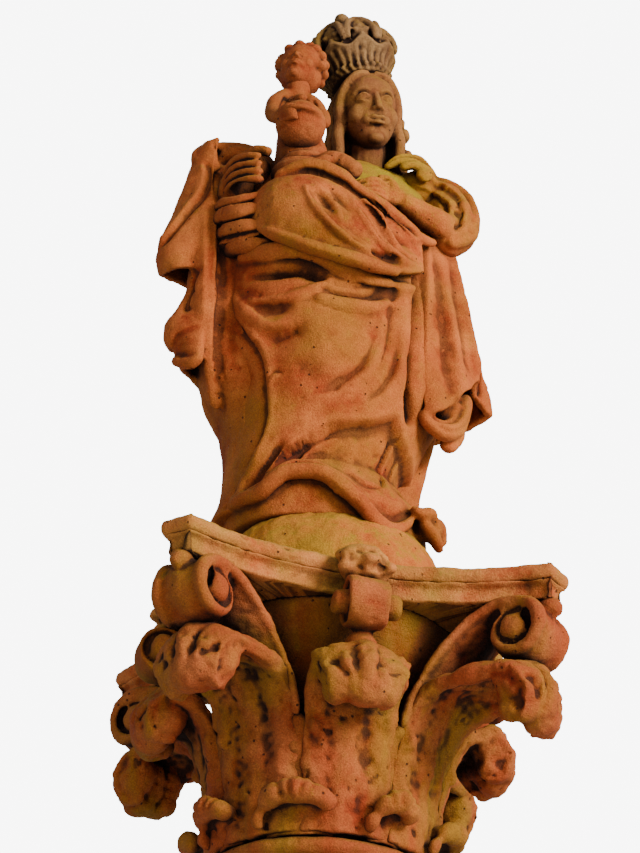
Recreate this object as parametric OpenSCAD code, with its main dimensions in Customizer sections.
// A sandstone wayside column: steps, pedestal, round shaft, leaf capital,
// and on top a crowned woman in a wide cloak who carries a child.
// Millimetres, +Z up, front towards -Y. The origin is on the ground, on the column's axis.

/* [Steps] */
// Side of the lower step
step_lower_w = 1400; // [1300:10:1700]
// Height of the lower step
step_lower_h = 150; // [120:5:200]
// Side of the upper step
step_upper_w = 1080; // [1000:10:1250]
// Height of the upper step
step_upper_h = 150; // [120:5:200]

/* [Pedestal] */
// Side of the pedestal's plinth
plinth_w = 820; // [760:10:960]
// Height of the pedestal's plinth
plinth_h = 140; // [100:5:200]
// Height of the moulding between plinth and die
foot_mould_h = 60; // [40:5:90]
// Side of the pedestal's die
die_w = 640; // [600:10:720]
// Height of the pedestal's die
die_h = 560; // [400:10:900]
// How far the pedestal's cornice stands out of the die
cornice_out = 85; // [60:5:110]
// Height of the pedestal's cornice
cornice_h = 130; // [100:5:180]

/* [Column] */
// Side of the square block under the column's base
base_block_w = 600; // [590:10:680]
// Height of the square block under the column's base
base_block_h = 80; // [60:5:120]
// Height of the round base with its two rolls
base_h = 150; // [120:5:200]
// Diameter of the shaft just above its base
shaft_foot_d = 470; // [440:5:500]
// Diameter of the shaft just under the neck ring
shaft_neck_d = 390; // [340:5:400]
// Length of the lower drum
drum_lower_h = 760; // [500:10:1200]
// Length of the upper drum
drum_upper_h = 720; // [500:10:1200]

/* [Capital] */
// How far the neck ring stands out of the shaft
ring_out = 18; // [10:1:30]
// Height of the neck ring
ring_h = 35; // [25:1:50]
// Height of the bell, from the neck ring to the abacus
bell_h = 439; // [390:1:500]
// Radius of the bell at its lip
bell_lip_r = 262; // [240:2:280]
// Distance from the axis to the abacus's horns
horn_r = 505; // [480:5:560]
// Width of a horn's cut-off corner
horn_w = 62; // [50:2:90]
// Distance from the axis to the middle of an abacus side
abacus_side_r = 288; // [275:2:310]
// Height of the abacus's plain band
band_h = 36; // [28:1:50]
// Height of the abacus's upper roll
roll_h = 30; // [22:1:45]
// How far the plain band lies behind the roll
band_step = 16; // [8:1:24]
// Number of leaves in the lower row
lower_leaves_n = 8; // [8:4:8]
// Width of a lower leaf
lower_leaf_w = 118; // [90:2:126]
// Height of a lower leaf
lower_leaf_h = 80; // [64:2:120]
// How far a lower leaf's tip stands out of the shaft's neck
lower_leaf_out = 60; // [50:2:80]
// Radius of a lower leaf's curled tip
lower_tip_r = 28; // [22:1:30]
// Width of an upper leaf
upper_leaf_w = 140; // [120:2:150]
// Radius of an upper leaf's curled tip
upper_tip_r = 57; // [48:1:60]
// Height of an upper leaf's curled tip above the neck ring
upper_leaf_h = 305; // [270:5:320]
// Distance from the axis to the tips of the leaves on the faces
face_leaf_r = 360; // [330:5:380]
// Distance from the axis to the tips of the leaves on the corners
corner_leaf_r = 472; // [430:2:490]
// Radius of a corner volute
volute_r = 54; // [46:1:60]
// Thickness of a corner volute
volute_t = 110; // [80:5:120]
// Radius of the ball in a volute's eye
eye_r = 30; // [20:1:36]
// Radius of the scroll in the middle of a face
scroll_r = 62; // [52:1:66]
// Length of the scroll in the middle of a face
scroll_l = 92; // [70:2:110]
// Width of the carved flower over each scroll
flower_w = 118; // [90:2:130]
// How far a flower stands out of the abacus's roll
flower_out = 70; // [50:2:80]
// How far a flower rises above the abacus
flower_rise = 12; // [4:1:24]

/* [Figure] */
// Radius of the mound under the figure, where it rests on the abacus
mound_r = 235; // [210:5:260]
// Height of the mound
mound_h = 165; // [140:5:190]
// Height of the figure's skirt above the mound
skirt_h = 315; // [280:5:360]
// Height from the skirt's top to the waist
thigh_h = 280; // [250:5:320]
// Height from the waist to the chest
waist_h = 140; // [120:5:170]
// Height from the chest's lower edge to the shoulders
chest_h = 230; // [210:5:250]
// Width of the cloak where it is widest
cloak_w = 712; // [640:10:760]
// Depth of the figure, from its front to the back of the cloak
figure_d = 410; // [360:10:450]
// Radius of the woman's head
head_r = 84; // [76:1:90]
// Height of the woman's head from chin to crown
head_h = 250; // [230:5:270]
// Diameter of the crown's rim
crown_d = 200; // [180:5:220]
// Height of the crown without its ball
crown_h = 150; // [120:5:170]
// Radius of the ball on the crown
crown_ball_r = 18; // [12:1:24]

/* [Child] */
// Radius of the child's head
child_head_r = 61; // [54:1:68]
// Radius of the child's trunk
child_body_r = 60; // [50:1:66]
// Height of the child's trunk above the cloth
child_body_h = 230; // [200:5:250]
// Radius of the globe that the child holds
globe_r = 53; // [44:1:58]

/* [Hidden] */

FRONT = 0;
RIGHT = 90;
BACK = 180;
LEFT = 270;

// Levels, from the ground up
step_upper_z = step_lower_h;
plinth_z = step_upper_z + step_upper_h;
foot_mould_z = plinth_z + plinth_h;
die_z = foot_mould_z + foot_mould_h;
cornice_z = die_z + die_h;
base_block_z = cornice_z + cornice_h;
base_z = base_block_z + base_block_h;
drum_lower_z = base_z + base_h;
drum_upper_z = drum_lower_z + drum_lower_h;
ring_z = drum_upper_z + drum_upper_h;
bell_z = ring_z + ring_h;
band_z = bell_z + bell_h;
roll_z = band_z + band_h;
mound_z = roll_z + roll_h;
scroll_z = band_z + 20 - scroll_r;
skirt_z = mound_z + mound_h;
thigh_z = skirt_z + skirt_h;
waist_z = thigh_z + thigh_h;
chest_z = waist_z + waist_h;
neck_z = chest_z + chest_h;

neck_r = shaft_neck_d / 2;
joint_r = (shaft_foot_d * drum_upper_h + shaft_neck_d * drum_lower_h) / (drum_upper_h + drum_lower_h) / 2;
fine = 96;
soft = 28;
slice = 1;
seat_gap = 0.3;

function turn(a, r) = [r * sin(a), -r * cos(a)];

// ---- Steps and pedestal ----

module square_block(w, h, z) {
    translate([-w / 2, -w / 2, z])
        cube([w, w, h]);
}

// A square moulding: the outline is [how far out of the half width, height] from the bottom up
module square_moulding(outline, z) {
    last = len(outline) - 1;
    corners = concat([[0, outline[0][1]]], outline, [[0, outline[last][1]]]);
    translate([0, 0, z])
        intersection() {
            rotate([90, 0, 0])
                linear_extrude(3 * step_lower_w, center = true)
                    polygon(concat(corners, [for (i = [last:-1:0]) [-outline[i][0], outline[i][1]]]));
            rotate([90, 0, 90])
                linear_extrude(3 * step_lower_w, center = true)
                    polygon(concat(corners, [for (i = [last:-1:0]) [-outline[i][0], outline[i][1]]]));
        }
}

module step_lower() {
    color("indianred")
        square_block(step_lower_w, step_lower_h, 0);
}

module step_upper() {
    color("indianred")
        square_block(step_upper_w, step_upper_h, step_upper_z);
}

module pedestal_plinth() {
    color("indianred")
        square_block(plinth_w, plinth_h, plinth_z);
}

module pedestal_foot_moulding() {
    color("indianred")
        square_moulding([
            [plinth_w / 2 - 12, 0],
            [plinth_w / 2 - 12, foot_mould_h * 0.35],
            [(plinth_w + die_w) / 4, foot_mould_h * 0.55],
            [die_w / 2 + 10, foot_mould_h]
        ], foot_mould_z);
}

module pedestal_die() {
    color("indianred")
        square_block(die_w, die_h, die_z);
}

module pedestal_cornice() {
    half = die_w / 2;
    color("indianred")
        square_moulding([
            [half + 8, 0],
            [half + 8, cornice_h * 0.18],
            [half + cornice_out * 0.35, cornice_h * 0.34],
            [half + cornice_out * 0.8, cornice_h * 0.5],
            [half + cornice_out, cornice_h * 0.56],
            [half + cornice_out, cornice_h * 0.86],
            [half + cornice_out - 18, cornice_h]
        ], cornice_z);
}

// ---- Column ----

module column_base_block() {
    color("indianred")
        square_block(base_block_w, base_block_h, base_block_z);
}

// The round base: a large roll, a hollow and a small roll
module column_base() {
    big = base_h * 0.22;
    small = base_h * 0.13;
    big_r = base_block_w / 2 - 4 - big;
    small_r = shaft_foot_d / 2 + 8;
    color("indianred")
        translate([0, 0, base_z])
            union() {
                cylinder(r = big_r, h = 2 * big, $fn = fine);
                translate([0, 0, big])
                    rotate_extrude($fn = fine)
                        translate([big_r, 0])
                            circle(r = big, $fn = 48);
                translate([0, 0, 2 * big])
                    cylinder(r1 = big_r, r2 = small_r, h = base_h - 2 * big - 2 * small, $fn = fine);
                translate([0, 0, base_h - 2 * small])
                    cylinder(r = small_r, h = 2 * small, $fn = fine);
                translate([0, 0, base_h - small])
                    rotate_extrude($fn = fine)
                        translate([small_r, 0])
                            circle(r = small, $fn = 48);
            }
}

module shaft_drum_lower() {
    color("indianred")
        translate([0, 0, drum_lower_z])
            cylinder(r1 = shaft_foot_d / 2, r2 = joint_r, h = drum_lower_h, $fn = fine);
}

module shaft_drum_upper() {
    color("indianred")
        translate([0, 0, drum_upper_z])
            cylinder(r1 = joint_r, r2 = neck_r, h = drum_upper_h, $fn = fine);
}

// ---- Capital ----

module neck_ring() {
    color("indianred")
        translate([0, 0, ring_z])
            union() {
                cylinder(r = neck_r, h = ring_h, $fn = fine);
                translate([0, 0, ring_h / 2])
                    rotate_extrude($fn = fine)
                        translate([neck_r + ring_out - ring_h / 2, 0])
                            circle(r = ring_h / 2, $fn = 32);
            }
}

// Radius of the bell at a height above the neck ring: straight below, flaring to the lip
function bell_r(h) = neck_r - 12 + (bell_lip_r - neck_r + 12) * pow(h / bell_h, 2.6);

module bell_shape() {
    levels = 10;
    translate([0, 0, bell_z])
        rotate_extrude($fn = fine)
            polygon(concat(
                [[0, 0]],
                [for (i = [0:levels]) [bell_r(bell_h * i / levels), bell_h * i / levels]],
                [[0, bell_h]]
            ));
}

module capital_bell() {
    color("indianred")
        bell_shape();
}

// A leaf's side view: it climbs the bell from its foot and curls over at its tip
function leaf_side(h, out_r, tip) = concat(
    [[neck_r - 30, 0], [neck_r + 10, 0], [neck_r + 14, h * 0.35]],
    [for (a = [200:20:440]) [out_r - tip + tip * cos(a), h - tip * 0.7 + tip * sin(a)]],
    [[neck_r + 20, h * 0.92], [neck_r - 30, h * 0.8]]
);

module leaf(angle, h, out_r, w, tip) {
    rotate([0, 0, angle - 90])
        translate([0, 0, bell_z])
            rotate([90, 0, 0])
                linear_extrude(w, center = true)
                    polygon(leaf_side(h, out_r, tip));
}

// The wedge of the bell that one leaf of eight may fill
module leaf_wedge(angle) {
    reach = 2 * horn_r;
    rotate([0, 0, angle - 90])
        translate([0, 0, bell_z])
            linear_extrude(bell_h)
                polygon([[1, 0], [reach, -reach * tan(22.4)], [reach, reach * tan(22.4)]]);
}

module lower_leaves() {
    step = 360 / lower_leaves_n;
    color("indianred")
        difference() {
            for (i = [0:lower_leaves_n - 1])
                intersection() {
                    leaf((i + 0.5) * step, lower_leaf_h, neck_r + lower_leaf_out, lower_leaf_w, lower_tip_r);
                    leaf_wedge((i + 0.5) * step);
                }
            bell_shape();
        }
}

module upper_leaf(angle, out_r) {
    color("indianred")
        difference() {
            intersection() {
                leaf(angle, upper_leaf_h, out_r, upper_leaf_w, upper_tip_r);
                leaf_wedge(angle);
            }
            bell_shape();
            lower_leaf_room();
        }
}

// The ring-shaped room that the lower leaves take
module lower_leaf_room() {
    reach = norm([neck_r + lower_leaf_out, lower_leaf_w / 2]) + seat_gap;
    translate([0, 0, bell_z - 1])
        cylinder(r = reach, h = lower_leaf_h + 0.3 * lower_tip_r + 2, $fn = fine);
}

// A corner volute hangs under a horn: a roll with a ball in each eye, on a stem beside the bell's lip
module volute(angle) {
    drop = volute_r + 4;
    centre_r = horn_r - volute_r - 32;
    root_r = bell_lip_r + seat_gap;
    color("indianred")
        rotate([0, 0, angle - 90])
            translate([0, 0, band_z - drop])
                rotate([90, 0, 0])
                    union() {
                        translate([centre_r, 0, 0])
                            cylinder(r = volute_r, h = volute_t, center = true, $fn = 64);
                        for (side = [-1, 1])
                            translate([centre_r, 0, side * volute_t / 2])
                                sphere(r = eye_r, $fn = 48);
                        linear_extrude(volute_t * 0.7, center = true)
                            polygon([
                                [root_r, -volute_r * 1.2],
                                [centre_r - 20, -volute_r * 0.85],
                                [centre_r, volute_r * 0.9],
                                [centre_r + 20, drop],
                                [root_r, drop]
                            ]);
                    }
}

// A face scroll: a roll in front of the band, on a neck that comes out of the bell under it
module face_scroll(angle) {
    centre_r = abacus_side_r - band_step + scroll_r + 6;
    neck_drop = 62;
    rotate([0, 0, angle - 90])
        union() {
            translate([centre_r, 0, scroll_z])
                rotate([90, 0, 0])
                    cylinder(r = scroll_r, h = scroll_l, center = true, $fn = 64);
            translate([bell_lip_r - 90, -scroll_l * 0.35, band_z - neck_drop])
                cube([centre_r - bell_lip_r + 90, scroll_l * 0.7, neck_drop]);
        }
}

module face_scrolls() {
    color("indianred")
        difference() {
            for (angle = [FRONT, RIGHT, BACK, LEFT])
                face_scroll(angle);
            bell_shape();
        }
}

// The abacus's plan: four hollow sides between four cut-off horns
function side_point(t, inset) =
    let (
        half = horn_r * sqrt(0.5) - horn_w * sqrt(0.125),
        deep = abacus_side_r - inset,
        out = horn_r * sqrt(0.5) + horn_w * sqrt(0.125) - inset
    )
    [t * (half - inset * 0.4), -(deep + (out - deep) * t * t)];

function turned(p, a) = [p[0] * cos(a) - p[1] * sin(a), p[0] * sin(a) + p[1] * cos(a)];

module abacus_plan(inset) {
    polygon([
        for (a = [0:90:270])
            for (i = [-8:8])
                turned(side_point(i / 8, inset), a)
    ]);
}

module abacus_band() {
    color("indianred")
        translate([0, 0, band_z])
            linear_extrude(band_h)
                abacus_plan(band_step);
}

module abacus_roll() {
    color("indianred")
        translate([0, 0, roll_z])
            linear_extrude(roll_h)
                abacus_plan(0);
}

// The flowers sit on the scrolls, against the abacus's roll and band
module face_flowers() {
    color("indianred")
        difference() {
            for (angle = [FRONT, RIGHT, BACK, LEFT])
                rotate([0, 0, angle])
                    translate([0, -abacus_side_r - flower_out + 25, roll_z + roll_h / 2])
                        rotate([-90, 0, 0])
                            cylinder(r1 = flower_w / 2 - 22, r2 = flower_w / 2, h = flower_out + 20, $fn = 48);
            translate([0, 0, roll_z])
                linear_extrude(2 * roll_h)
                    abacus_plan(0);
            translate([0, 0, roll_z - band_h])
                linear_extrude(band_h)
                    abacus_plan(band_step);
            translate([-horn_r, -horn_r, mound_z + flower_rise])
                cube([2 * horn_r, 2 * horn_r, flower_w]);
            translate([-horn_r, -horn_r, scroll_z + scroll_r - flower_w])
                cube([2 * horn_r, 2 * horn_r, flower_w]);
        }
}

// ---- Figure ----

// A soft body: ovals, each [height, centre x, centre y, half width, half depth], joined one to the next
module oval(s) {
    translate([s[1], s[2], mound_z + s[0]])
        linear_extrude(slice)
            scale([s[3], s[4]])
                circle(r = 1, $fn = soft);
}

module soft_body(rows) {
    for (i = [0:len(rows) - 2])
        hull() {
            oval(rows[i]);
            oval(rows[i + 1]);
        }
}

// A limb: balls, each [x, y, height, radius], joined one to the next
module ball(s) {
    translate([s[0], s[1], mound_z + s[2]])
        sphere(r = s[3], $fn = 20);
}

module limb(rows) {
    for (i = [0:len(rows) - 2])
        hull() {
            ball(rows[i]);
            ball(rows[i + 1]);
        }
}

// Heights above the mound's foot
skirt_h0 = mound_h;
thigh_h0 = skirt_h0 + skirt_h;
waist_h0 = thigh_h0 + thigh_h;
chest_h0 = waist_h0 + waist_h;
neck_h0 = chest_h0 + chest_h;
wide = cloak_w / 2;
deep = figure_d / 2;

module mound() {
    color("indianred")
        translate([-18, 0, mound_z])
            rotate_extrude($fn = fine)
                polygon(concat(
                    [[0, 0]],
                    [for (a = [0:9:45]) [mound_r * cos(a), mound_h * sin(a) / sin(45)]],
                    [[0, mound_h]]
                ));
}

module skirt_shape() {
    soft_body([
        [skirt_h0, -18, 0, 0.67 * wide, 0.95 * deep],
        [skirt_h0 + 0.16 * skirt_h, -25, 0, 0.62 * wide, 0.92 * deep],
        [skirt_h0 + 0.38 * skirt_h, -41, 0, 0.54 * wide, 0.86 * deep],
        [skirt_h0 + 0.66 * skirt_h, -30, 0, 0.6 * wide, 0.9 * deep],
        [thigh_h0, -2, 0, 0.7 * wide, 0.96 * deep]
    ]);
}

module figure_mass() {
    soft_body([
        [thigh_h0 - 2 * slice, 12, 0, 0.82 * wide, 0.96 * deep],
        [thigh_h0 + 0.18 * thigh_h, -9, 0, 0.92 * wide, deep],
        [thigh_h0 + 0.45 * thigh_h, -40, 0, 0.97 * wide, 1.04 * deep],
        [waist_h0, -64, 0, 0.93 * wide, 1.06 * deep],
        [chest_h0, -82, 0, 0.93 * wide, 1.04 * deep],
        [chest_h0 + 0.5 * chest_h, -84, 10, 0.84 * wide, 0.92 * deep],
        [chest_h0 + 0.85 * chest_h, -70, 15, 0.76 * wide, 0.74 * deep],
        [neck_h0, -20, 20, 0.3 * wide, 0.45 * deep]
    ]);
}

// A region of the figure between two heights and two widths
module region(x0, x1, y0, y1, h0, h1) {
    translate([x0, y0, mound_z + h0])
        cube([x1 - x0, y1 - y0, h1 - h0]);
}

cloak_left_x = -225;
cloak_right_x = 150;
cloak_back_y = 70;
far = 2 * cloak_w;

module skirt() {
    color("sienna")
        intersection() {
            union() {
                skirt_shape();
                figure_mass();
            }
            region(-far, far, -far, far, skirt_h0, thigh_h0);
        }
}

module mantle_front() {
    color("sienna")
        intersection() {
            figure_mass();
            region(cloak_left_x, cloak_right_x, -far, cloak_back_y, thigh_h0, waist_h0);
        }
}

module waist_folds() {
    color("sienna")
        intersection() {
            figure_mass();
            region(cloak_left_x, cloak_right_x, -far, cloak_back_y, waist_h0, chest_h0);
        }
}

module torso() {
    color("sienna")
        intersection() {
            figure_mass();
            region(cloak_left_x, cloak_right_x, -far, cloak_back_y, chest_h0, neck_h0);
        }
}

module cloak_left() {
    color("sienna")
        intersection() {
            figure_mass();
            region(-far, cloak_left_x, -far, cloak_back_y, thigh_h0, neck_h0);
        }
}

module cloak_right() {
    color("sienna")
        intersection() {
            figure_mass();
            region(cloak_right_x, far, -far, cloak_back_y, thigh_h0, neck_h0);
        }
}

module cloak_back() {
    color("sienna")
        intersection() {
            figure_mass();
            region(-far, far, cloak_back_y, far, thigh_h0, neck_h0);
        }
}

module right_hand_shape() {
    limb([
        [-240, -150, chest_h0 - 20, 52],
        [-262, -185, chest_h0 + 20, 44],
        [-240, -215, chest_h0 + 60, 30],
        [-262, -190, chest_h0 + 90, 26]
    ]);
}

module right_sleeve_and_hand() {
    color("sienna")
        difference() {
            right_hand_shape();
            figure_mass();
        }
}

module left_arm_shape() {
    limb([
        [185, -10, chest_h0 + 0.72 * chest_h, 58],
        [212, -50, chest_h0 + 0.42 * chest_h, 66],
        [212, -90, chest_h0 + 20, 64],
        [150, -190, chest_h0 + 40, 40],
        [70, -230, chest_h0 + 40, 28],
        [-30, -235, chest_h0 + 45, 16],
        [-20, -225, chest_h0 + 30, 14],
        [60, -220, chest_h0 + 25, 24]
    ]);
}

module left_arm() {
    color("sienna")
        difference() {
            left_arm_shape();
            figure_mass();
        }
}

module child_cloth_shape() {
    soft_body([
        [chest_h0 - 70, -110, -190, 60, 40],
        [chest_h0 - 30, -110, -185, 130, 90],
        [chest_h0 + 10, -115, -175, 150, 105],
        [chest_h0 + 50, -115, -165, 150, 110],
        [chest_h0 + 100, -120, -150, 130, 105],
        [chest_h0 + 135, -140, -130, 100, 85],
        [chest_h0 + 145, -140, -130, 95, 80]
    ]);
}

module child_cloth() {
    color("sienna")
        difference() {
            child_cloth_shape();
            figure_mass();
            left_arm_shape();
            right_hand_shape();
            globe_shape(seat_gap);
        }
}

child_seat_h = chest_h0 + 120;
child_neck_h = child_seat_h + child_body_h;

module child_body_shape() {
    limb([
        [-150, -140, child_seat_h, child_body_r + 5],
        [-145, -135, child_seat_h + 0.5 * child_body_h, child_body_r],
        [-143, -130, child_neck_h - 30, child_body_r * 0.75],
        [-143, -130, child_neck_h, child_body_r * 0.5]
    ]);
    limb([
        [-120, -170, child_seat_h + 10, 40],
        [-25, -215, child_seat_h - 45, 30]
    ]);
    limb([
        [-190, -135, child_neck_h - 50, 28],
        [-200, -150, child_neck_h - 105, 26],
        [-185, -185, child_neck_h - 120, 20]
    ]);
}

module globe_shape(gap) {
    translate([-148, -208, mound_z + child_neck_h - 172])
        sphere(r = globe_r + gap, $fn = 32);
}

module child_head_shape() {
    soft_body([
        for (a = [-75:25:75])
            [child_neck_h + 60 + child_head_r * sin(a), -142, -130, child_head_r * cos(a), child_head_r * cos(a)]
    ]);
}

module child_body() {
    color("sienna")
        difference() {
            child_body_shape();
            figure_mass();
            child_cloth_shape();
            left_arm_shape();
            globe_shape(seat_gap);
            child_head_shape();
        }
}

module child_globe() {
    color("sienna")
        globe_shape(0);
}

module child_head() {
    color("sienna")
        child_head_shape();
}

head_x = 18;
head_y = -40;

module head_and_neck() {
    rim = neck_h0 + head_h + 15;
    color("sienna")
        difference() {
            soft_body([
                [neck_h0 - 40, 20, 0, 80, 75],
                [neck_h0 + 5, head_x, -20, 62, 62],
                [neck_h0 + 30, head_x, head_y, 70, 74],
                [neck_h0 + 0.4 * head_h, head_x, head_y, head_r, head_r * 1.08],
                [neck_h0 + 0.75 * head_h, head_x, head_y + 5, head_r, head_r * 1.08],
                [neck_h0 + head_h, head_x, head_y + 10, head_r * 0.92, head_r],
                [rim - slice, head_x, head_y + 10, head_r * 0.8, head_r * 0.85]
            ]);
            figure_mass();
            child_head_shape();
        }
}

module crown() {
    foot = neck_h0 + head_h + 15;
    color("sienna")
        translate([head_x - 8, head_y + 10, mound_z + foot])
            union() {
                rotate_extrude($fn = 64)
                    polygon([
                        [0, 0],
                        [crown_d * 0.38, 0],
                        [crown_d * 0.42, crown_h * 0.2],
                        [crown_d * 0.5, crown_h * 0.36],
                        [crown_d * 0.49, crown_h * 0.62],
                        [crown_d * 0.38, crown_h * 0.88],
                        [crown_d * 0.2, crown_h],
                        [0, crown_h]
                    ]);
                translate([-crown_d * 0.1, 0, crown_h + crown_ball_r * 0.7])
                    sphere(r = crown_ball_r, $fn = 32);
            }
}

step_lower();
step_upper();
pedestal_plinth();
pedestal_foot_moulding();
pedestal_die();
pedestal_cornice();
column_base_block();
column_base();
shaft_drum_lower();
shaft_drum_upper();
neck_ring();
capital_bell();
lower_leaves();
upper_leaf(FRONT, face_leaf_r);  // face_leaf_front
upper_leaf(RIGHT, face_leaf_r);  // face_leaf_right
upper_leaf(BACK, face_leaf_r);  // face_leaf_back
upper_leaf(LEFT, face_leaf_r);  // face_leaf_left
upper_leaf(FRONT + 45, corner_leaf_r);  // corner_leaf_front_right
upper_leaf(RIGHT + 45, corner_leaf_r);  // corner_leaf_back_right
upper_leaf(BACK + 45, corner_leaf_r);  // corner_leaf_back_left
upper_leaf(LEFT + 45, corner_leaf_r);  // corner_leaf_front_left
volute(FRONT + 45);  // volute_front_right
volute(RIGHT + 45);  // volute_back_right
volute(BACK + 45);  // volute_back_left
volute(LEFT + 45);  // volute_front_left
face_scrolls();
face_flowers();
abacus_band();
abacus_roll();
mound();
skirt();
mantle_front();
waist_folds();
torso();
cloak_left();
cloak_right();
cloak_back();
right_sleeve_and_hand();
left_arm();
child_cloth();
child_body();
child_globe();
child_head();
head_and_neck();
crown();
